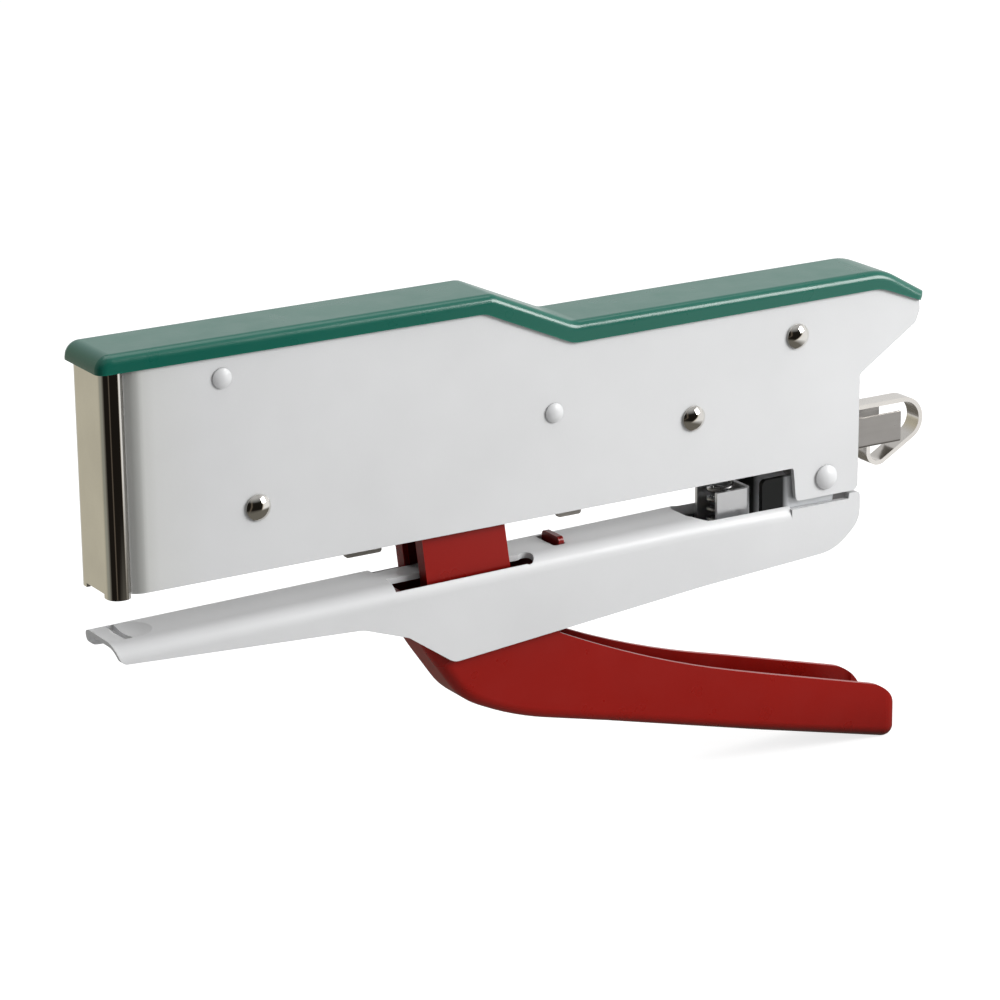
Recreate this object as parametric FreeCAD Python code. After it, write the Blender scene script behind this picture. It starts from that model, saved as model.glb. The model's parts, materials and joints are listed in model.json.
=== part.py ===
import FreeCAD, Part
import math
import os

# Plier stapler: a casing with a magazine channel, a jaw that closes on it,
# and a lever that shuts the jaw and drives the blade. All lengths are in mm.
# Shapes are drawn with x from the nose plate to the tail, y across and z up
# from the casing's lower edge, then moved so that the centre of the box
# round the part is at x = 0 and the lever's heel is at z = 0.
X_MID = 80.65
Z_LOW = -54.68

# Half widths, from the middle plane outwards
COVER_Y = 6.85
CASING_Y = 6.3
CASING_WALL = 0.9
CASING_IN = CASING_Y - CASING_WALL
JAW_WALL = 1.0
JAW_IN = CASING_Y - JAW_WALL
LEVER_Y = 4.95
LEVER_WALL = 1.0
LEVER_IN = LEVER_Y - LEVER_WALL
CHANNEL_Y = 3.6
CHANNEL_WALL = 0.6
ARM_Y = 3.6
ARM_WALL = 1.0
ARM_IN = ARM_Y - ARM_WALL

# Axes that run across the part, as x and z
HINGE = (138.3, -2.7)
FULCRUM = (85.7, -9.6)
ARM_PIVOT = (110.3, 12.5)
STUD = (68.5, 13.8)
REAR_RIVET = (131.9, 23.9)
FRONT_RIVET = (26.1, 10.9)
GUIDE_RIVET = (20.4, 33.4)
FRAME_RIVET = (82.3, 17.9)

PIN_R = 1.5
PIN_FIT = 0.05
RIVET_R = 1.4
SMALL_RIVET_R = 1.2
BAR_R = 1.1
BAR_TENON_R = 0.7

CHANNEL_LOW = 0.2
CHANNEL_TOP = 5.8
CHANNEL_FRONT = 2.1
CHANNEL_REAR = 156.5

ROD_Z = 3.1
ROD_R = 0.9
ROD_FRONT = 9.0
HOOK_LEG = 126.0
HOOK_REAR = 162.6
BLOCK_FRONT = 12.0
BLOCK_LENGTH = 10.0
COLLAR_LENGTH = 2.0

V = FreeCAD.Vector
AXIS_X = V(1, 0, 0)
AXIS_Y = V(0, 1, 0)
AXIS_Z = V(0, 0, 1)
ORIGIN = V(0, 0, 0)


def corner_arc(before, here, after, radius):
    """Start, middle and end of the arc that rounds a corner."""
    back = (before - here).normalize()
    ahead = (after - here).normalize()
    half = back.getAngle(ahead) / 2
    run = radius / math.tan(half)
    centre = here + (back + ahead).normalize() * (radius / math.sin(half))
    middle = centre + (here - centre).normalize() * radius
    return here + back * run, middle, here + ahead * run


def outline_face(corners):
    """Face inside a closed outline of (u, v) or (u, v, radius) corners."""
    points = [V(corner[0], corner[1], 0) for corner in corners]
    count = len(points)
    arcs = []
    for i, corner in enumerate(corners):
        if len(corner) == 3:
            arcs.append(corner_arc(points[i - 1], points[i], points[(i + 1) % count], corner[2]))
        else:
            arcs.append((points[i], None, points[i]))
    edges = []
    for i, (first, middle, last) in enumerate(arcs):
        if middle is not None:
            edges.append(Part.Arc(first, middle, last).toShape())
        following = arcs[(i + 1) % count][0]
        if last.distanceToPoint(following) > 1e-6:
            edges.append(Part.makeLine(last, following))
    return Part.Face(Part.Wire(edges))


def side_plate(corners, y_from, y_to):
    """Plate with an x-z outline between two y values."""
    face = outline_face(corners)
    face.rotate(ORIGIN, AXIS_X, 90)
    face.translate(V(0, y_from, 0))
    return face.extrude(V(0, y_to - y_from, 0))


def plan_plate(corners, z_from, z_to):
    """Plate with an x-y outline between two z values."""
    face = outline_face(corners)
    face.translate(V(0, 0, z_from))
    return face.extrude(V(0, 0, z_to - z_from))


def front_plate(corners, x_from, x_to):
    """Plate with a y-z outline between two x values."""
    face = outline_face(corners)
    face.rotate(ORIGIN, V(1, 1, 1), 120)
    face.translate(V(x_from, 0, 0))
    return face.extrude(V(x_to - x_from, 0, 0))


def block(x_from, x_to, y_from, y_to, z_from, z_to):
    size = V(x_to - x_from, y_to - y_from, z_to - z_from)
    return Part.makeBox(size.x, size.y, size.z, V(x_from, y_from, z_from))


def cross_rod(centre, radius, y_from, y_to):
    """Rod along y round an (x, z) centre."""
    return Part.makeCylinder(radius, y_to - y_from, V(centre[0], y_from, centre[1]), AXIS_Y)


def cross_tube(centre, outer, inner, y_from, y_to):
    tube = cross_rod(centre, outer, y_from, y_to)
    return tube.cut(cross_rod(centre, inner, y_from - 1, y_to + 1))


def mirrored(shape):
    return shape.mirror(ORIGIN, AXIS_Y)


def rounded_edges(shape, radius, wanted):
    """Fillet the edges whose middle point passes the test."""
    edges = []
    for edge in shape.Edges:
        middle = edge.valueAt((edge.FirstParameter + edge.LastParameter) / 2)
        if wanted(middle):
            edges.append(edge)
    return shape.makeFillet(radius, edges)


def height_on(line, x):
    """Height of a line of (x, z) points at x."""
    for start, end in zip(line, line[1:]):
        if x <= end[0]:
            share = (x - start[0]) / (end[0] - start[0])
            return start[1] + share * (end[1] - start[1])
    return line[-1][1]


def coil(radius, wire_radius, pitch, height):
    """Coil spring up the z axis from the origin."""
    path = Part.makeHelix(pitch, height, radius)
    ring = Part.Wire(Part.makeCircle(wire_radius, V(radius, 0, 0), AXIS_Y))
    return Part.Wire(path).makePipeShell([ring], True, True)


def domed_head(centre, radius, height, y_from):
    """Rivet head on the +y side: a short rim under a shallow dome."""
    rim = height * 0.3
    rise = height - rim
    ball_radius = (radius * radius + rise * rise) / (2 * rise)
    ball = Part.makeSphere(ball_radius, V(centre[0], y_from + height - ball_radius, centre[1]))
    return cross_rod(centre, radius, y_from, y_from + height).common(ball)


def rivet(centre, shank_radius, head_radius, head_height):
    """Rivet through both casing walls with a domed head on each side."""
    shank = cross_rod(centre, shank_radius, -CASING_Y, CASING_Y)
    head = domed_head(centre, head_radius, head_height, CASING_Y)
    return shank.fuse([head, mirrored(head)])


def casing():
    """Folded sheet, open below, in front and at the tail, with hinge lugs."""
    side = [(2.35, 0), (131.4, 0, 0.5), (132.0, -6.2, 0.9), (145.2, -6.2, 1.2), (145.4, 15.0, 1.0),
            (157.3, 22.7, 1.5), (158.2, 25.0, 1.0), (157.9, 27.3), (150.3, 32.0, 9), (86.3, 32.0, 5),
            (70.6, 38.9, 2), (2.35, 38.9)]
    hollow = [(1, -8), (162, -8), (162, 23.6), (150.0, 31.1, 8), (86.1, 31.1, 6), (70.4, 38.0, 1.2),
              (1, 38.0)]
    shell = side_plate(side, -CASING_Y, CASING_Y)
    shell = rounded_edges(shell, 3.4, lambda p: abs(p.y) > 6.2 and p.x < 2.4)
    shell = shell.cut(side_plate(hollow, -CASING_IN, CASING_IN))
    holes = [
        cross_rod(HINGE, PIN_R, -9, 9),
        cross_rod(ARM_PIVOT, PIN_R, -9, 9),
        cross_rod(REAR_RIVET, RIVET_R, -9, 9),
        cross_rod(FRONT_RIVET, RIVET_R, -9, 9),
        cross_rod(GUIDE_RIVET, SMALL_RIVET_R, -9, 9),
        cross_rod(FRAME_RIVET, SMALL_RIVET_R, -9, 9),
    ]
    return shell.cut(holes)


def top_cover():
    """Long cover over the casing's upper edge, stepped down and curled at the tail."""
    side = [(-1.3, 37.0), (69.0, 37.0, 4), (86.1, 29.5, 5), (149.5, 30.0, 8), (158.7, 26.4), (159.3, 28.0),
            (150.5, 33.1, 10), (86.5, 33.1, 4), (70.8, 40.0, 3), (-1.3, 40.0, 2.6)]
    ridge = [(-1.3, 40.0), (70.8, 40.0), (86.5, 33.1), (150.5, 33.1), (159.3, 28.0)]
    body = side_plate(side, -COVER_Y, COVER_Y)
    body = rounded_edges(body, 1.5, lambda p: abs(p.y) > 6.8 and p.z > height_on(ridge, p.x) - 1.3)
    plan = [(-1.3, -COVER_Y, 1.5), (159.3, -COVER_Y, 2.0), (159.3, COVER_Y, 2.0), (-1.3, COVER_Y, 1.5)]
    body = body.common(plan_plate(plan, 20, 45))
    hollow = [(-0.4, 20), (157.9, 20), (157.9, 27.3), (150.3, 32.0, 9), (86.3, 32.0, 5), (70.6, 38.9, 2),
              (-0.4, 38.9, 1.7)]
    plan_in = [(-0.4, -CASING_Y, 1.0), (158.3, -CASING_Y, 1.2), (158.3, CASING_Y, 1.2), (-0.4, CASING_Y, 1.0)]
    room = side_plate(hollow, -CASING_Y, CASING_Y).common(plan_plate(plan_in, 19, 45))
    return body.cut(room)


def nose_plate():
    """Bright U-shaped plate; its side flanges step inside the casing."""
    outer = [(-0.3, -6.2, 2.0), (2.55, -6.2, 1.0), (3.3, -5.6), (3.3, 5.6), (2.55, 6.2, 1.0),
             (-0.3, 6.2, 2.0)]
    inner = [(0.4, -5.5, 1.3), (2.3, -5.5), (2.8, -4.6), (5, -4.6), (5, 4.6), (2.8, 4.6), (2.3, 5.5),
             (0.4, 5.5, 1.3)]
    plate = plan_plate(outer, -0.6, 37.6).cut(plan_plate(inner, -2, 39))
    flange = [(2.8, 0.3), (12, 0.3, 2), (30.2, 5.0, 3), (30.2, 15.2, 3), (15, 21, 4), (24.8, 28.5, 3),
              (24.8, 36.2, 1.5), (2.8, 36.2)]
    wing = side_plate(flange, 4.6, CASING_IN)
    plate = plate.fuse([wing, mirrored(wing)])
    notch = block(-1, 2, -3.3, 3.3, -1, 0.1)
    holes = [cross_rod(FRONT_RIVET, RIVET_R, -9, 9), cross_rod(GUIDE_RIVET, SMALL_RIVET_R, -9, 9)]
    return plate.cut([notch] + holes)


def blade_guide():
    """Plate behind the blade, with a window for the driver arm's tongue."""
    plate = block(2.1, 2.9, -4.6, 4.6, 6.4, 31.0)
    window = block(2, 3, -1.8, 1.8, 14.4, 25.3)
    wing = block(2.1, 9.0, 3.95, 4.6, 6.4, 31.0)
    return plate.cut(window).fuse([wing, mirrored(wing)])


def driver_blade():
    """Thin blade that pushes one staple down; the arm's tongue fits its window."""
    blade = block(1.15, 1.75, -3.2, 3.2, 7.3, 31.0)
    return blade.cut(block(1, 2, -1.75, 1.75, 21.8, 25.2))


def driver_arm():
    """Inverted U: two cheeks, a top web, a front wall and the tongue."""
    side = [(4.6, 18.6, 1.5), (30, 18.6, 5), (49, 12.2, 5), (57, 9.9, 4), (82, 8.5, 10), (114.4, 8.4, 4.0),
            (114.4, 16.6, 4.0), (80, 15.9, 3), (75, 18.8, 4), (60, 24.0, 6), (30, 30.4, 8), (4.6, 30.4, 1.5)]
    cheek = side_plate(side, ARM_IN, ARM_Y)
    web = side_plate([(4.6, 29.4), (29.9, 29.4, 8), (59.7, 23.0, 6), (74.6, 17.8, 3), (77.2, 16.3),
                      (77.8, 17.15), (75, 18.8, 4), (60, 24.0, 6), (30, 30.4, 8), (4.6, 30.4, 0.8)],
                     -ARM_IN, ARM_IN)
    wall = block(4.6, 5.6, -ARM_IN, ARM_IN, 19.6, 30.0)
    tongue = block(1.5, 5.0, -1.4, 1.4, 22.2, 24.8)
    arm = cheek.fuse([mirrored(cheek), web, wall, tongue])
    x, z = STUD
    slot = [(x - 8.4, z - 1.95, 1.8), (x + 1.9, z - 1.95, 1.8), (x + 1.9, z + 1.95, 1.8),
            (x - 8.4, z + 1.95, 1.8)]
    return arm.cut([side_plate(slot, -5, 5), cross_rod(ARM_PIVOT, PIN_R + PIN_FIT, -5, 5)])


def arm_return_spring():
    """Torsion coil round the arm's pivot: one leg under the web, one on the channel."""
    radius = 3.0
    pitch = 0.8
    turns = 4.5
    steps = 16
    y_from = -1.8
    y_to = y_from + pitch * turns
    x, z = ARM_PIVOT
    points = [V(x - 33, y_from, z + radius), V(x - 20, y_from, z + radius), V(x - 8, y_from, z + radius)]
    for i in range(int(turns * steps) + 1):
        turned = 2 * math.pi * i / steps
        across = y_from + pitch * i / steps
        points.append(V(x + radius * math.sin(turned), across, z + radius * math.cos(turned)))
    points += [V(x - 7, y_to, z - 3.9), V(x - 15, y_to, CHANNEL_TOP + 0.4)]
    line = Part.BSplineCurve()
    line.interpolate(points)
    ring = Part.Wire(Part.makeCircle(0.35, points[0], AXIS_X))
    return Part.Wire(line.toShape()).makePipeShell([ring], True, False)


def arm_pivot_spacers():
    """Tubes on the arm's pivot: one between the cheeks and one outside each."""
    centre = cross_tube(ARM_PIVOT, 2.3, PIN_R, -2.25, 2.25)
    side = cross_tube(ARM_PIVOT, 2.6, PIN_R, ARM_Y + 0.3, CASING_IN)
    return Part.makeCompound([centre, side, mirrored(side)])


def hinge_spacer():
    """Tube on the hinge rivet between the jaw's ears."""
    return cross_tube(HINGE, 2.4, PIN_R, -3.75, 3.75)


def magazine_channel():
    channel = block(CHANNEL_FRONT, CHANNEL_REAR, -CHANNEL_Y, CHANNEL_Y, CHANNEL_LOW, CHANNEL_TOP)
    inner = CHANNEL_Y - CHANNEL_WALL
    hollow = block(0, 160, -inner, inner, CHANNEL_LOW + CHANNEL_WALL, 8)
    channel = channel.cut(hollow)
    return rounded_edges(channel, 0.5, lambda p: abs(p.y) > 3.5 and p.z < 0.3 and 10 < p.x < 150)


def hanger(lower, upper):
    """Strap under the channel whose sides step out to the casing's walls.

    lower and upper are the x-z outlines of the inner and outer plates."""
    inner_plate = side_plate(lower, CHANNEL_Y, CHANNEL_Y + 0.8)
    outer_plate = side_plate(upper, CASING_IN - 0.8, CASING_IN)
    box = outer_plate.BoundBox
    low_box = inner_plate.BoundBox
    x_from = max(box.XMin, low_box.XMin)
    x_to = min(box.XMax, low_box.XMax)
    step = block(x_from, x_to, CHANNEL_Y, CASING_IN, 5.2, 6.0)
    side = inner_plate.fuse([outer_plate, step])
    floor = block(low_box.XMin + 0.6, low_box.XMax - 1.6, -CHANNEL_Y, CHANNEL_Y, CHANNEL_LOW - 0.8,
                  CHANNEL_LOW)
    return side, floor


def front_hanger():
    lower = [(43.0, -1.4, 0.5), (49.8, -1.4, 0.5), (49.8, 6.0), (43.0, 6.0)]
    upper = [(43.0, 5.2), (49.8, 5.2), (49.8, 13.0, 2), (43.0, 13.0, 2)]
    side, floor = hanger(lower, upper)
    return side.fuse([mirrored(side), floor])


def mid_hanger():
    lower = [(84.0, -1.4, 0.5), (88.6, -1.4, 0.5), (90.4, 6.0), (84.0, 6.0)]
    upper = [(84.0, 5.2), (90.4, 5.2), (90.4, 12.0, 2), (85.4, 20.6, 3), (79.2, 20.6, 3), (79.2, 14.0, 3),
             (84.0, 11.0, 3)]
    side, floor = hanger(lower, upper)
    return side.fuse([mirrored(side), floor]).cut(cross_rod(FRAME_RIVET, SMALL_RIVET_R, -9, 9))


def rear_hanger():
    """Hanger near the hinge; its sides reach up to the rear rivet."""
    lower = [(123.0, -0.6), (131.8, -0.6), (131.8, 6.0), (123.0, 6.0)]
    upper = [(123.0, 5.2), (131.8, 5.2), (136.0, 22.0, 3), (136.0, 27.6, 3), (127.6, 27.6, 3),
             (127.6, 20.0, 3)]
    side, floor = hanger(lower, upper)
    return side.fuse([mirrored(side), floor]).cut(cross_rod(REAR_RIVET, RIVET_R, -9, 9))


def pull_hook():
    """Strip whose front leg holds the rod; it leaves the casing and curls back under the channel's end."""
    outer = [(HOOK_LEG, 1.3), (HOOK_LEG, 7.6, 1.4), (HOOK_REAR, 7.6, 4.2), (HOOK_REAR, 1.04, 4.0),
             (150.35, -5.97, 2.65), (150.35, -0.3)]
    inner = [(151.15, -0.3), (151.15, -4.59, 1.85), (HOOK_REAR - 0.8, 1.5, 3.2), (HOOK_REAR - 0.8, 6.8, 3.4),
             (HOOK_LEG + 0.8, 6.8, 0.6), (HOOK_LEG + 0.8, 1.3)]
    strip = side_plate(outer + inner, -1.8, 1.8)
    return strip.cut(Part.makeCylinder(0.6, 2, V(HOOK_LEG - 0.5, 0, ROD_Z), AXIS_X))


def pusher_rod():
    """Long rod with a small front head and a rear end riveted into the hook's leg."""
    rod = Part.makeCylinder(ROD_R, HOOK_LEG - ROD_FRONT, V(ROD_FRONT, 0, ROD_Z), AXIS_X)
    head = Part.makeCylinder(1.6, 1.2, V(ROD_FRONT, 0, ROD_Z), AXIS_X)
    tenon = Part.makeCylinder(0.6, 1.0, V(HOOK_LEG - 0.1, 0, ROD_Z), AXIS_X)
    end = Part.makeCylinder(1.2, 0.6, V(HOOK_LEG + 0.8, 0, ROD_Z), AXIS_X)
    return rod.fuse([head, tenon, end])


def rod_collar():
    """Seat for the pusher spring, against the hook's leg."""
    collar = Part.makeCylinder(1.9, COLLAR_LENGTH, V(HOOK_LEG - COLLAR_LENGTH, 0, ROD_Z), AXIS_X)
    return collar.cut(Part.makeCylinder(ROD_R, 9.0, V(HOOK_LEG - 6, 0, ROD_Z), AXIS_X))


def pusher_block():
    """Block that pushes the staples along; it slides on the rod."""
    x_to = BLOCK_FRONT + BLOCK_LENGTH
    side = [(BLOCK_FRONT, 1.15), (x_to, 1.15), (x_to, 4.4, 1.0), (x_to - 2, 5.45, 1.0), (BLOCK_FRONT, 5.45)]
    body = side_plate(side, -2.65, 2.65)
    return body.cut(Part.makeCylinder(ROD_R + PIN_FIT, 20, V(BLOCK_FRONT - 5, 0, ROD_Z), AXIS_X))


def pusher_spring():
    start = BLOCK_FRONT + BLOCK_LENGTH + 0.25
    spring = coil(1.6, 0.25, 5.0, HOOK_LEG - COLLAR_LENGTH - start - 0.25)
    spring.rotate(ORIGIN, AXIS_Y, 90)
    spring.translate(V(start, 0, ROD_Z))
    return spring


def jaw_top(x):
    """Height of the jaw's upper face, which rises toward the hinge."""
    return height_on([(-0.2, -8.0), (112.0, -6.35), (131.2, -6.5)], x)


def jaw_shell():
    """Folded sheet, open below and in front; its tip is the anvil."""
    front = [(-0.2, jaw_top(-0.2)), (112, jaw_top(112)), (131.2, -6.5), (131.2, -17.22), (112.0, -18.4, 60),
             (62.3, -22.7, 3.0), (53.6, -16.7, 3.0), (45.0, -13.75, 6.0), (0.9, -11.35, 1.5)]
    shell = side_plate(front, -CASING_Y, CASING_Y)
    shell = rounded_edges(shell, 3.0, lambda p: abs(p.y) > 6.2 and p.z > jaw_top(p.x) - 0.1)
    rear = [(131.2, -7.6), (143.3, -7.6), (143.5, -6.6), (145.8, -6.6, 0.8), (145.8, -12.0, 5),
            (140.5, -16.65, 9), (131.2, -17.22)]
    shell = shell.fuse(side_plate(rear, -CASING_Y, CASING_Y)).removeSplitter()
    under = [(-2, -30), (144.8, -30), (144.8, -7.5), (112, jaw_top(112) - JAW_WALL),
             (-2, jaw_top(-2) - JAW_WALL)]
    room = side_plate(under, -JAW_IN, JAW_IN)
    room = rounded_edges(room, 2.0, lambda p: abs(p.y) > 5.2 and -9.5 < p.z < -7.2 and p.x < 144)
    arm_slot = block(51.6, 77.6, 3.6, 5.7, -9.6, -5)
    flange_slot = block(51.6, 61.5, 2.2, 3.7, -9.6, -5)
    arm_slot = arm_slot.fuse([flange_slot, Part.makeCylinder(1.3, 5, V(77.6, 4.5, -9.6), AXIS_Z)])
    cross_plan = [(84.05, -3.1, 0.5), (86.5, -3.1, 0.5), (86.5, 3.1, 0.5), (84.05, 3.1, 0.5)]
    cross_slot = plan_plate(cross_plan, -9, -6)
    opening = plan_plate([(111.5, -5.2, 3.5), (132.5, -5.2), (132.5, 5.2), (111.5, 5.2, 3.5)], -9.4, -5)
    ear_room = block(132.0, 144.4, -JAW_IN, JAW_IN, -9.4, -5)
    clinch = block(2.75, 4.15, -3.7, 3.7, -9.5, -6)
    scoop = Part.makeSphere(14.0, V(5.4, 0, jaw_top(5.4) + 13.55))
    return shell.cut([room, arm_slot, mirrored(arm_slot), cross_slot, opening, ear_room, clinch, scoop])


def jaw_bracket():
    """Floor under the spring, with ears that turn on the hinge rivet."""
    ear = [(113.0, -13.0, 2), (140.0, -13.0, 3), (141.2, -3.2), (141.2, 0.2, 2.85), (135.4, 0.2, 2.85),
           (134.8, -1.7), (125.6, -1.7, 1), (125.6, -9.0), (113.0, -9.0, 2)]
    plate = side_plate(ear, 4.1, 5.1)
    pads = [cross_rod((x, -11.2), 1.6, 5.1, JAW_IN) for x in (116.0, 126.0, 136.0)]
    side = plate.fuse(pads)
    floor = block(114.5, 131.0, -4.1, 4.1, -13.0, -12.0)
    bracket = side.fuse([mirrored(side), floor])
    return bracket.cut(cross_rod(HINGE, PIN_R + PIN_FIT, -9, 9))


def spring_cup():
    """Upright U round the jaw spring, open toward the nose."""
    plan = [(117.2, -3.5), (124.5, -3.5, 1.2), (124.5, 3.5, 1.2), (117.2, 3.5)]
    room = [(116.0, -2.8), (123.8, -2.8, 0.5), (123.8, 2.8, 0.5), (116.0, 2.8)]
    return plan_plate(plan, -12.0, -3.0).cut(plan_plate(room, -13, -2))


def jaw_return_spring():
    spring = coil(2.15, 0.35, 1.85, 11.1)
    spring.translate(V(120.2, 0, -11.6))
    return spring


def lever_solid(half_narrow, half_wide, side, rear):
    """Prism of the lever's side outline inside its widening plan outline."""
    plan = [(50, -half_narrow), (95, -half_narrow, 60), (126, -half_wide, 60), (rear, -half_wide, 3.0),
            (rear, half_wide, 3.0), (126, half_wide, 60), (95, half_narrow, 60), (50, half_narrow)]
    return side_plate(side, -9, 9).common(plan_plate(plan, -70, 60))


def lever():
    """Folded handle with a web along its lower side and two arms that reach up."""
    side = [(53.2, -9.6), (57.2, -19.5, 30), (65.0, -30.8, 14), (75.5, -35.9, 60), (155.3, -55.45),
            (155.3, -45.35, 8.5), (103, -30.9, 200), (82.5, -21.2, 2), (84.6, -17.5, 3), (90.5, -14.5, 2.5), (90.5, -12.4, 1),
            (87.2, -9.6, 1), (74.4, -9.6, 1), (73.0, 1, 20), (72.5, 19.5, 5.5), (60.0, 19.5, 5.5),
            (57.0, 1, 20), (58.2, -9.6, 0.5)]
    low_line = [(53.2, -9.6), (57.2, -19.5), (65.0, -30.8), (75.5, -35.9), (155.3, -55.45)]
    shell = lever_solid(LEVER_Y, CASING_Y, side, 155.3)
    shell = rounded_edges(
        shell, 2.0, lambda p: abs(p.y) > 4.5 and p.z < height_on(low_line, p.x) + 2 and p.x < 151)
    room = [(54.1, 40), (54.1, -9.2), (58.1, -19.0, 29), (65.7, -30.0, 13), (75.8, -34.95, 59),
            (154.3, -54.2), (154.3, 40)]
    hollow = lever_solid(LEVER_IN, CASING_Y - LEVER_WALL, room, 154.3)
    hollow = rounded_edges(hollow, 1.0, lambda p: abs(p.y) > 3.5 and p.z < height_on(low_line, p.x) + 3.2)
    heel = [(152.0, -54.68), (152.0, -57), (158, -57), (158, -52.9), (155.3, -52.9), (155.0, -54.0, 0.6),
            (154.2, -54.62, 0.6)]
    shell = shell.cut([hollow, side_plate(heel, -9, 9)])
    shell = shell.cut(block(149, 157, -5.0, 5.0, -50.5, -40))
    flange = side_plate([(58.2, -9.6), (59.2, -9.6), (58.15, -0.5), (57.15, -0.5)], 2.5, LEVER_Y - 0.5)
    disc = cross_rod(FULCRUM, BAR_R, LEVER_IN, LEVER_Y)
    shell = shell.fuse([flange, mirrored(flange), disc, mirrored(disc)])
    return shell.cut([cross_rod(FULCRUM, BAR_TENON_R, -9, 9), cross_rod(STUD, PIN_R, -9, 9)])


def fulcrum_bar():
    """Bar across the lever under the jaw's web, with a tongue through the web."""
    bar = cross_rod(FULCRUM, BAR_R, -LEVER_IN, LEVER_IN)
    tenon = cross_rod(FULCRUM, BAR_TENON_R, -LEVER_Y, LEVER_Y)
    tongue = front_plate([(-2.8, -9.6), (2.8, -9.6), (2.8, -5.6, 0.8), (-2.8, -5.6, 0.8)], 85.2, 86.2)
    return bar.fuse([tenon, tongue])


def arm_studs():
    """Pins in the lever's arms that slide in the driver arm's slot."""
    stud = cross_rod(STUD, PIN_R, 2.2, LEVER_Y)
    return Part.makeCompound([stud, mirrored(stud)])


NODES = {
    "casing": casing(),
    "top_cover": top_cover(),
    "nose_plate": nose_plate(),
    "blade_guide": blade_guide(),
    "driver_blade": driver_blade(),
    "driver_arm": driver_arm(),
    "arm_return_spring": arm_return_spring(),
    "arm_pivot_spacers": arm_pivot_spacers(),
    "hinge_spacer": hinge_spacer(),
    "magazine_channel": magazine_channel(),
    "front_hanger": front_hanger(),
    "mid_hanger": mid_hanger(),
    "rear_hanger": rear_hanger(),
    "front_rivet": rivet(FRONT_RIVET, RIVET_R, 2.2, 1.25),
    "rear_rivet": rivet(REAR_RIVET, RIVET_R, 2.2, 1.25),
    "arm_pivot_rivet": rivet(ARM_PIVOT, PIN_R, 2.2, 1.25),
    "jaw_hinge_rivet": rivet(HINGE, PIN_R, 2.2, 1.2),
    "guide_rivet": rivet(GUIDE_RIVET, SMALL_RIVET_R, 1.7, 0.8),
    "frame_rivet": rivet(FRAME_RIVET, SMALL_RIVET_R, 1.7, 0.9),
    "pull_hook": pull_hook(),
    "pusher_rod": pusher_rod(),
    "rod_collar": rod_collar(),
    "pusher_block": pusher_block(),
    "pusher_spring": pusher_spring(),
    "jaw_shell": jaw_shell(),
    "jaw_bracket": jaw_bracket(),
    "spring_cup": spring_cup(),
    "jaw_return_spring": jaw_return_spring(),
    "lever": lever(),
    "fulcrum_bar": fulcrum_bar(),
    "arm_studs": arm_studs(),
}

os.makedirs("parts", exist_ok=True)
for name, shape in NODES.items():
    shape.translate(V(-X_MID, 0, -Z_LOW))
    shape.exportStep("parts/" + name + ".step")
    box = shape.BoundBox
    print(name, shape.ShapeType, len(shape.Solids), shape.isValid(), round(shape.Volume, 1),
          [round(v, 2) for v in (box.XMin, box.XMax, box.YMin, box.YMax, box.ZMin, box.ZMax)])
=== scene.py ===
import json
import math

import bmesh
import bpy
from mathutils import Matrix, Vector


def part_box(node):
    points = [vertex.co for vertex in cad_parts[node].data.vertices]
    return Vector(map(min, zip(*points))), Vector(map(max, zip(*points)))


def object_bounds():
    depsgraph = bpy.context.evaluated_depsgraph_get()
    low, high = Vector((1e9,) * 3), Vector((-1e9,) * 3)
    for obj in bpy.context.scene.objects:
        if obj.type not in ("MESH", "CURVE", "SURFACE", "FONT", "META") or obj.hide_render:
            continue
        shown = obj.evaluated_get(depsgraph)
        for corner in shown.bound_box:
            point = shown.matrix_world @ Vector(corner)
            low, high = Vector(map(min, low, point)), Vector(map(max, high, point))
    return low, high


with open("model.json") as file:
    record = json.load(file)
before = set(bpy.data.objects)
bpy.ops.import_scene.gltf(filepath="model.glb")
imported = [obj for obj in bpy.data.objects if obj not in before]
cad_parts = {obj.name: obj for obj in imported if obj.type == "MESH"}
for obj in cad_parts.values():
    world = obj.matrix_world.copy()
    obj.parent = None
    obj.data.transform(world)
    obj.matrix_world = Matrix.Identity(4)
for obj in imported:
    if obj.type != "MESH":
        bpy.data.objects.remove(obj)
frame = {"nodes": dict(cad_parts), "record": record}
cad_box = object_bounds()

# The camera's lens, place and axes
LENS_MM = 143.1
SENSOR_MM = 36.0
CAMERA_PLACE = (-0.33275, -0.5536, 0.2571)
CAMERA_RIGHT = (0.8587, -0.5124, -0.0125)
CAMERA_UP = (0.1626, 0.2493, 0.9547)
CAMERA_BACK = (-0.4860, -0.8218, 0.2974)

# Paint colours
WHITE = (0.76, 0.765, 0.77)
GREEN = (0.003, 0.120, 0.083)
RED = (0.31, 0.005, 0.002)

# Painted shade in the casing's paint, a darker band behind the nose plate where the casing's front rounds
# off: its start behind the nose plate's front, its length and its shades
PAINTED_SHADE_START = 0.0036
PAINTED_SHADE_RUN = 0.014
PAINTED_SHADE_STOPS = ((0.0, (0.85, 0.85, 0.82)), (0.07, (0.56, 0.56, 0.53)), (0.14, (0.60, 0.60, 0.57)),
              (0.22, (0.85, 0.85, 0.82)), (0.36, (0.94, 0.94, 0.92)), (1.0, (1, 1, 1)))

# Painted shade on the jaw bracket, a near-black front end where it lies deep in shadow: how far ahead of the
# hinge rivet it starts to clear, and its blend
BRACKET_SHADE_AHEAD = 0.0062
BRACKET_SHADE_BLEND = 0.0012

# Width of rubbed edges, gloss of paint, and depths of orange peel and drawn lines
RUBBED_WIDTH = 0.0004
PAINT_SPECULAR = 0.4
COAT_ROUGHNESS = 0.12
PEEL_DEPTH = 0.00005
DRAWN_DEPTH = 0.00004


# ---------------------------------------------------------------- materials

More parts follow.
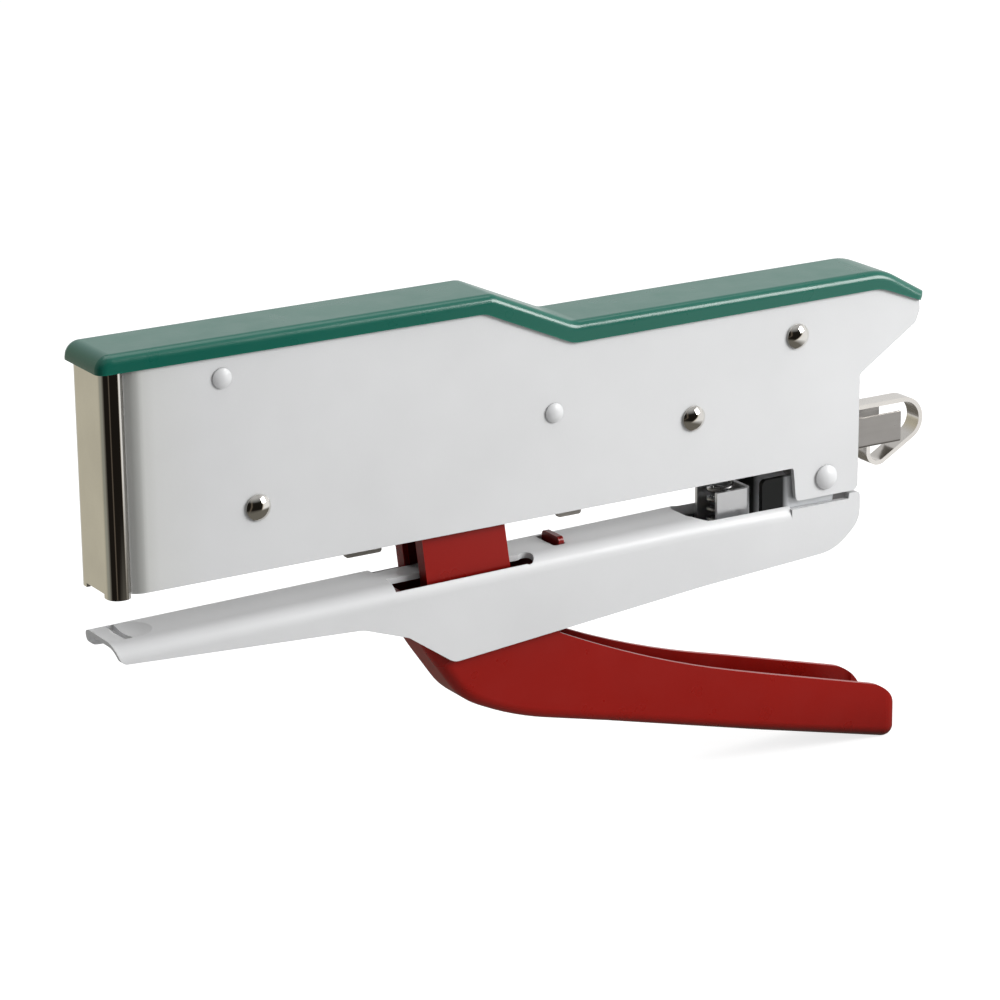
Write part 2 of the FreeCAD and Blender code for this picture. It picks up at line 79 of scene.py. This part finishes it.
class Nodes:
    """Short calls that add and link nodes in one node tree."""

    def __init__(self, tree):
        self.tree = tree
        self.place = self.add("ShaderNodeTexCoord")

    def add(self, kind, **inputs):
        node = self.tree.nodes.new(kind)
        for key, value in inputs.items():
            node.inputs[key.replace("_", " ")].default_value = value
        return node

    def link(self, source, output, target, socket):
        self.tree.links.new(source.outputs[output], target.inputs[socket])

    def maths(self, operation, first, second=None):
        """A Math node; each input is a number or a (node, output) pair."""
        node = self.tree.nodes.new("ShaderNodeMath")
        node.operation = operation
        for socket, value in ((0, first), (1, second)):
            if isinstance(value, tuple):
                self.link(value[0], value[1], node, socket)
            elif value is not None:
                node.inputs[socket].default_value = value
        return node

    def ramp(self, source, output, stops):
        """A colour ramp through (position, colour) stops."""
        node = self.add("ShaderNodeValToRGB")
        elements = node.color_ramp.elements
        while len(elements) < len(stops):
            elements.new(1.0)
        for element, (position, colour) in zip(elements, stops):
            element.position = position
            element.color = (*colour, 1)
        self.link(source, output, node, "Fac")
        return node

    def noise(self, scale, detail=3.0, stretch=(1, 1, 1)):
        mapping = self.add("ShaderNodeMapping")
        mapping.inputs["Scale"].default_value = stretch
        self.link(self.place, "Object", mapping, "Vector")
        texture = self.add("ShaderNodeTexNoise", Scale=scale, Detail=detail)
        self.link(mapping, "Vector", texture, "Vector")
        return texture

    def between(self, source, low, high, start=0.0, stop=1.0):
        """The source's value moved from start..stop to low..high."""
        spread = self.add("ShaderNodeMapRange")
        for key, value in zip(("From Min", "From Max", "To Min", "To Max"), (start, stop, low, high)):
            spread.inputs[key].default_value = value
        self.link(source, "Fac", spread, "Value")
        return spread


class Finish(Nodes):
    """A material with a Principled shader."""

    def __init__(self, name):
        self.material = bpy.data.materials.new(name)
        self.material.use_nodes = True
        self.material.node_tree.nodes.clear()
        super().__init__(self.material.node_tree)
        self.shader = self.add("ShaderNodeBsdfPrincipled")
        self.output = self.add("ShaderNodeOutputMaterial")
        self.link(self.shader, "BSDF", self.output, "Surface")

    def bumps(self, source, strength, depth):
        bump = self.add("ShaderNodeBump", Strength=strength, Distance=depth)
        self.link(source, "Fac", bump, "Height")
        self.link(bump, "Normal", self.shader, "Normal")


def shade(colour, factor):
    return tuple(min(1.0, c * factor) for c in colour)


def edge_wear(finish, radius):
    """Spotty mask that is 1 where an edge has been rubbed and 0 on open faces."""
    rounded = finish.add("ShaderNodeBevel", Radius=radius)
    flat = finish.add("ShaderNodeNewGeometry")
    agree = finish.add("ShaderNodeVectorMath")
    agree.operation = "DOT_PRODUCT"
    finish.link(rounded, "Normal", agree, 0)
    finish.link(flat, "Normal", agree, 1)
    edge = finish.maths("SUBTRACT", 1.0, (agree, "Value"))
    spots = finish.maths("MULTIPLY", (edge, 0), (finish.noise(420, 4), "Fac"))
    return finish.maths("MINIMUM", (finish.maths("MULTIPLY", (spots, 0), 5.0), 0), 1.0)


def recess_painted_shade(finish, reach, depth):
    """Painted shade for recesses from an occlusion test: 1 on open faces, down to depth in folds and under
    overhangs.
    """
    open_sky = finish.add("ShaderNodeAmbientOcclusion", Distance=reach)
    open_sky.samples = 4
    return finish.ramp(open_sky, "AO", ((0.15, (depth,) * 3), (0.85, (1, 1, 1))))


def along_x(finish, start, run, stops):
    """Colour that changes along x through the stops, from start over the run."""
    split = finish.add("ShaderNodeSeparateXYZ")
    finish.link(finish.place, "Object", split, "Vector")
    part = finish.add("ShaderNodeMapRange")
    part.inputs["From Min"].default_value = start
    part.inputs["From Max"].default_value = start + run
    finish.link(split, "X", part, "Value")
    return finish.ramp(part, "Result", stops)


def multiplied(finish, first, second):
    """Product of two (node, output) colours."""
    product = finish.add("ShaderNodeMix")
    product.data_type = "RGBA"
    product.blend_type = "MULTIPLY"
    product.inputs["Factor"].default_value = 1.0
    finish.link(first[0], first[1], product, 6)
    finish.link(second[0], second[1], product, 7)
    return product


def paint(name, colour, roughness, coat, peel, wear, reach, depth, painted_shade_from=None):
    """Sprayed paint on sheet steel: orange peel, slight clouding, painted shade in recesses and rubbed edges.

    wear is the tone of rubbed edges, reach and depth are those of the painted shade in recesses, and the last
    argument is the x where a band of painted shade starts."""
    finish = Finish(name)
    even = finish.ramp(finish.noise(40, 3), "Fac", ((0.0, shade(colour, 0.92)), (1.0, shade(colour, 1.08))))
    # Random clouding times the painted shade in recesses
    clouding_and_painted_shade = multiplied(finish, (even, "Color"), (recess_painted_shade(finish, reach, depth), "Color"))
    # Optional band of painted shade along x
    if painted_shade_from is not None:
        clouding_and_painted_shade = multiplied(finish, (clouding_and_painted_shade, 2), (along_x(finish, painted_shade_from, PAINTED_SHADE_RUN, PAINTED_SHADE_STOPS), "Color"))
    worn = finish.add("ShaderNodeMix")
    worn.data_type = "RGBA"
    finish.link(edge_wear(finish, RUBBED_WIDTH), 0, worn, "Factor")
    finish.link(clouding_and_painted_shade, 2, worn, 6)
    worn.inputs[7].default_value = (*shade(colour, wear), 1)
    finish.link(worn, 2, finish.shader, "Base Color")
    gloss = finish.between(finish.noise(160, 3), roughness * 0.7, roughness * 1.3)
    finish.link(gloss, "Result", finish.shader, "Roughness")
    finish.bumps(finish.noise(1100, 1), peel, PEEL_DEPTH)
    finish.shader.inputs["Specular IOR Level"].default_value = PAINT_SPECULAR
    finish.shader.inputs["Coat Weight"].default_value = coat
    finish.shader.inputs["Coat Roughness"].default_value = COAT_ROUGHNESS
    return finish.material


def metal(name, colour, roughness, grain, stretch, lines=0.12):
    """Bare or plated metal with fine drawn lines and faint smudges."""
    finish = Finish(name)
    finish.shader.inputs["Metallic"].default_value = 1.0
    stops = ((0.0, shade(colour, 0.86)), (1.0, shade(colour, 1.10)))
    smudge = finish.ramp(finish.noise(110, 3), "Fac", stops)
    finish.link(smudge, "Color", finish.shader, "Base Color")
    drawn = finish.noise(grain, 3, stretch)
    finish.link(finish.between(drawn, roughness * 0.5, roughness * 1.5), "Result", finish.shader, "Roughness")
    finish.bumps(drawn, lines, DRAWN_DEPTH)
    return finish.material


def bracket_steel_painted_shade(name):
    """Zinc plate with painted shade: near black toward the deep front end of the bracket, where it lies in
    shadow.
    """
    finish = Finish(name)
    finish.shader.inputs["Metallic"].default_value = 0.6
    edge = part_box("jaw_hinge_rivet")[0].x - BRACKET_SHADE_AHEAD
    # Near black is painted shade; the pale zinc is the plate's own colour
    stops = ((0.0, (0.012, 0.013, 0.013)), (1.0, (0.66, 0.68, 0.70)))
    painted_dark_end = along_x(finish, edge, BRACKET_SHADE_BLEND, stops)
    finish.link(painted_dark_end, "Color", finish.shader, "Base Color")
    finish.link(finish.between(finish.noise(700, 3), 0.3, 0.6), "Result", finish.shader, "Roughness")
    finish.bumps(finish.noise(900, 2), 0.08, DRAWN_DEPTH)
    return finish.material


# reach and depth set the painted shade in recesses; wear is the tone of rubbed edges
WHITE_PAINT = {
    "colour": WHITE, "roughness": 0.42, "coat": 0.15, "peel": 0.20,
    "wear": 0.86, "reach": 0.005, "depth": 0.45,
}
GREEN_PAINT = {
    "colour": GREEN, "roughness": 0.30, "coat": 0.30, "peel": 0.14,
    "wear": 1.5, "reach": 0.003, "depth": 0.70,
}
RED_PAINT = {
    "colour": RED, "roughness": 0.30, "coat": 0.06, "peel": 0.12,
    "wear": 1.3, "reach": 0.018, "depth": 0.22,
}
FINISHES = {
    "white_paint": paint("white_paint_finish", **WHITE_PAINT),
    "green_paint": paint("green_paint_finish", **GREEN_PAINT),
    "red_paint": paint("red_paint_finish", **RED_PAINT),
    "chrome": metal("chrome_finish", (0.76, 0.74, 0.70), 0.07, 500, (1, 1, 0.1), 0.02),
    "nickel": metal("nickel_finish", (0.80, 0.77, 0.73), 0.18, 900, (0.15, 1, 1), 0.06),
    "plain_steel": metal("plain_steel_finish", (0.37, 0.355, 0.34), 0.34, 1500, (0.05, 1, 1)),
    "zinc_steel": metal("zinc_steel_finish", (0.78, 0.79, 0.81), 0.36, 700, (1, 1, 1)),
    "spring_steel": metal("spring_steel_finish", (0.40, 0.40, 0.40), 0.28, 1800, (1, 1, 0.1)),
}


# ---------------------------------------------------------------- CAD nodes

# An edge is rounded when its faces turn by more than this
SHARP_DEG = 32


def soften(piece, width):
    """Rounds the sharp sheet edges by a small width."""
    bevel = piece.modifiers.new("edge", "BEVEL")
    bevel.width = width
    bevel.segments = 2
    bevel.limit_method = "ANGLE"
    bevel.angle_limit = math.radians(SHARP_DEG)
    bevel.harden_normals = True
    bevel.use_clamp_overlap = True


# Rounding of the sheet edges, node by node
EDGE_WIDTH = {
    "casing": 0.00016, "top_cover": 0.00022, "nose_plate": 0.00012, "jaw_shell": 0.0002, "lever": 0.0002,
    "magazine_channel": 0.0001, "pull_hook": 0.00016, "spring_cup": 0.0001, "jaw_bracket": 0.00012,
    "fulcrum_bar": 0.0001, "front_hanger": 0.0001, "mid_hanger": 0.0001, "rear_hanger": 0.0001,
}
SLOT_OF = {part["node"]: part["material_slot"] for part in frame["record"]["subparts"]}
for node_name, piece in frame["nodes"].items():
    piece.data.materials.clear()
    piece.data.materials.append(FINISHES[SLOT_OF[node_name]])
    if node_name in EDGE_WIDTH:
        soften(piece, EDGE_WIDTH[node_name])
# The jaw bracket's front end gets painted shade
frame["nodes"]["jaw_bracket"].data.materials[0] = bracket_steel_painted_shade("bracket_steel_finish")
# The casing's white paint gets a band of painted shade behind the nose plate
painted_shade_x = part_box("nose_plate")[0].x + PAINTED_SHADE_START
frame["nodes"]["casing"].data.materials[0] = paint("casing_paint_painted_shade_finish", painted_shade_from=painted_shade_x, **WHITE_PAINT)


# ---------------------------------------------------------------- studio

PALE = (0.95, 0.95, 0.95)
GREY = (0.78, 0.78, 0.78)
DARK = (0.012, 0.010, 0.008)
# Close to the part, NEAR_FLOOR is painted shade: the dim floor that shiny metal mirrors where the part's
# shadow falls; the ring also uses it as a card colour toward -x
NEAR_FLOOR = (0.16, 0.15, 0.13)
OVERHEAD = (0.50, 0.50, 0.50)
# What shiny metal mirrors near the horizon, by direction: from -x by -y, +x and +y back to -x
AROUND = ((0.0, NEAR_FLOOR), (0.035, DARK), (0.150, DARK), (0.170, (0.14, 0.115, 0.09)),
          (0.190, DARK), (0.335, DARK), (0.352, (0.06, 0.050, 0.036)), (0.367, (0.85, 0.80, 0.73)),
          (0.40, PALE), (0.53, PALE),
          (0.60, GREY), (0.74, GREY), (0.80, (0.56, 0.53, 0.43)), (0.85, (0.50, 0.47, 0.38)),
          (0.90, (0.33, 0.33, 0.28)), (0.96, (0.30, 0.30, 0.26)), (1.0, NEAR_FLOOR))

# The floor's half size, its own light for the camera, and the distances over which the mirrored
# ring takes over from NEAR_FLOOR
FLOOR_HALF = 4.0
FLOOR_GLOW = 0.78
NEAR_REACH = (0.11, 0.20)

# Heights of direction over which OVERHEAD takes over from the ring
RING_HEIGHT = (0.35, 0.75)

# Strength of the even light on paint, and how much more comes from +x than from the middle
EVEN_LIGHT = 0.38
EVEN_TILT = 0.20


def around(nodes, source, centre):
    """Colour by compass direction about a centre."""
    split = nodes.add("ShaderNodeSeparateXYZ")
    nodes.link(source[0], source[1], split, "Vector")
    x = nodes.maths("SUBTRACT", (split, "X"), centre[0])
    y = nodes.maths("SUBTRACT", (split, "Y"), centre[1])
    turn = nodes.maths("ARCTAN2", (y, 0), (x, 0))
    part = nodes.maths("MULTIPLY_ADD", (turn, 0), 0.5 / math.pi)
    part.inputs[2].default_value = 0.5
    return nodes.ramp(part, 0, AROUND), split


def blended(nodes, factor, first, second):
    """Colour mix; each of the three is a (node, output) pair or, for a colour, a fixed value."""
    mix = nodes.add("ShaderNodeMix")
    mix.data_type = "RGBA"
    nodes.link(factor[0], factor[1], mix, "Factor")
    for socket, value in ((6, first), (7, second)):
        if len(value) == 2:
            nodes.link(value[0], value[1], mix, socket)
        else:
            mix.inputs[socket].default_value = (*value, 1)
    return mix


def chosen(nodes, factor, first, second):
    """Shader mix of two (node, output) pairs by a ray kind."""
    mix = nodes.add("ShaderNodeMixShader")
    nodes.link(factor[0], factor[1], mix, "Fac")
    nodes.link(first[0], first[1], mix, 1)
    nodes.link(second[0], second[1], mix, 2)
    return mix


def make_floor():
    """Pale floor for the camera; shiny metal sees the ring of studio cards in it instead."""
    grid = bmesh.new()
    bmesh.ops.create_grid(grid, x_segments=2, y_segments=2, size=FLOOR_HALF)
    mesh = bpy.data.meshes.new("floor")
    grid.to_mesh(mesh)
    grid.free()
    floor = bpy.data.objects.new("floor", mesh)
    bpy.context.scene.collection.objects.link(floor)
    finish = Finish("floor_finish")
    finish.shader.inputs["Roughness"].default_value = 0.9
    finish.shader.inputs["Specular IOR Level"].default_value = 0.0
    finish.shader.inputs["Emission Color"].default_value = (1, 1, 1, 1)
    ray = finish.add("ShaderNodeLightPath")
    pale = finish.ramp(finish.noise(3, 2), "Fac", ((0.3, (0.42, 0.42, 0.42)), (0.7, (0.44, 0.44, 0.44))))
    finish.link(pale, "Color", finish.shader, "Base Color")
    glow = finish.maths("MULTIPLY", (ray, "Is Camera Ray"), FLOOR_GLOW)
    finish.link(glow, 0, finish.shader, "Emission Strength")
    ring, _ = around(finish, (finish.place, "Object"), (cad_box[0].x, 0.0))
    far = finish.add("ShaderNodeVectorMath")
    far.operation = "LENGTH"
    finish.link(finish.place, "Object", far, 0)
    # Close to the part the mirrored floor is the painted shade NEAR_FLOOR
    away = finish.ramp(far, "Value", ((NEAR_REACH[0], (0, 0, 0)), (NEAR_REACH[1], (1, 1, 1))))
    mirrored = blended(finish, (away, "Color"), NEAR_FLOOR, (ring, "Color"))
    card = finish.add("ShaderNodeEmission")
    finish.link(mirrored, 2, card, "Color")
    surface = chosen(finish, (ray, "Is Glossy Ray"), (finish.shader, "BSDF"), (card, "Emission"))
    finish.link(surface, "Shader", finish.output, "Surface")
    mesh.materials.append(finish.material)


def make_world():
    """White for the camera, an even dim white for paint, and a studio with dark sides for shiny metal."""
    world = bpy.data.worlds.new("studio")
    bpy.context.scene.world = world
    world.use_nodes = True
    world.node_tree.nodes.clear()
    nodes = Nodes(world.node_tree)
    ray = nodes.add("ShaderNodeLightPath")
    ring, split = around(nodes, (nodes.place, "Generated"), (0.0, 0.0))
    height = nodes.ramp(split, "Z", ((RING_HEIGHT[0], (0, 0, 0)), (RING_HEIGHT[1], (1, 1, 1))))
    mirrored = blended(nodes, (height, "Color"), (ring, "Color"), OVERHEAD)
    shine = nodes.add("ShaderNodeBackground", Strength=1.0)
    nodes.link(mirrored, 2, shine, "Color")
    side = nodes.maths("MULTIPLY_ADD", (split, "X"), EVEN_TILT)
    side.inputs[2].default_value = EVEN_LIGHT
    even = nodes.add("ShaderNodeBackground", Color=(1, 1, 1, 1))
    nodes.link(side, 0, even, "Strength")
    seen = nodes.add("ShaderNodeBackground", Strength=1.0, Color=(1, 1, 1, 1))
    unseen = chosen(nodes, (ray, "Is Glossy Ray"), (even, "Background"), (shine, "Background"))
    result = chosen(nodes, (ray, "Is Camera Ray"), (unseen, "Shader"), (seen, "Background"))
    nodes.link(result, "Shader", nodes.add("ShaderNodeOutputWorld"), "Surface")


def area_light(name, place, target, size, power, mirrored=True):
    """Rectangular lamp aimed at the target; mirrored says whether shiny metal shows it."""
    data = bpy.data.lights.new(name, "AREA")
    data.shape = "RECTANGLE"
    data.size = size[0]
    data.size_y = size[1]
    data.energy = power
    light = bpy.data.objects.new(name, data)
    light.location = place
    light.visible_glossy = mirrored
    aim = Vector(target) - Vector(place)
    light.rotation_mode = "QUATERNION"
    light.rotation_quaternion = aim.to_track_quat("-Z", "Y")
    bpy.context.scene.collection.objects.link(light)


def make_camera():
    data = bpy.data.cameras.new("camera")
    data.lens = LENS_MM
    data.sensor_width = SENSOR_MM
    data.sensor_fit = "HORIZONTAL"
    camera = bpy.data.objects.new("camera", data)
    turn = Matrix((CAMERA_RIGHT, CAMERA_UP, CAMERA_BACK)).transposed().to_4x4()
    camera.matrix_world = Matrix.Translation(CAMERA_PLACE) @ turn
    bpy.context.scene.collection.objects.link(camera)
    bpy.context.scene.camera = camera


make_floor()
make_world()
middle = (cad_box[0] + cad_box[1]) / 2
area_light("key", (0.50, -0.46, 0.36), middle, (0.34, 0.34), 4.6)
area_light("top", (0.10, 0.15, 1.0), middle, (0.9, 0.7), 3.2)
area_light("fill", (-0.20, 0.60, 0.30), middle, (0.5, 0.5), 1.0, False)
make_camera()
bpy.context.scene.view_settings.view_transform = "Standard"
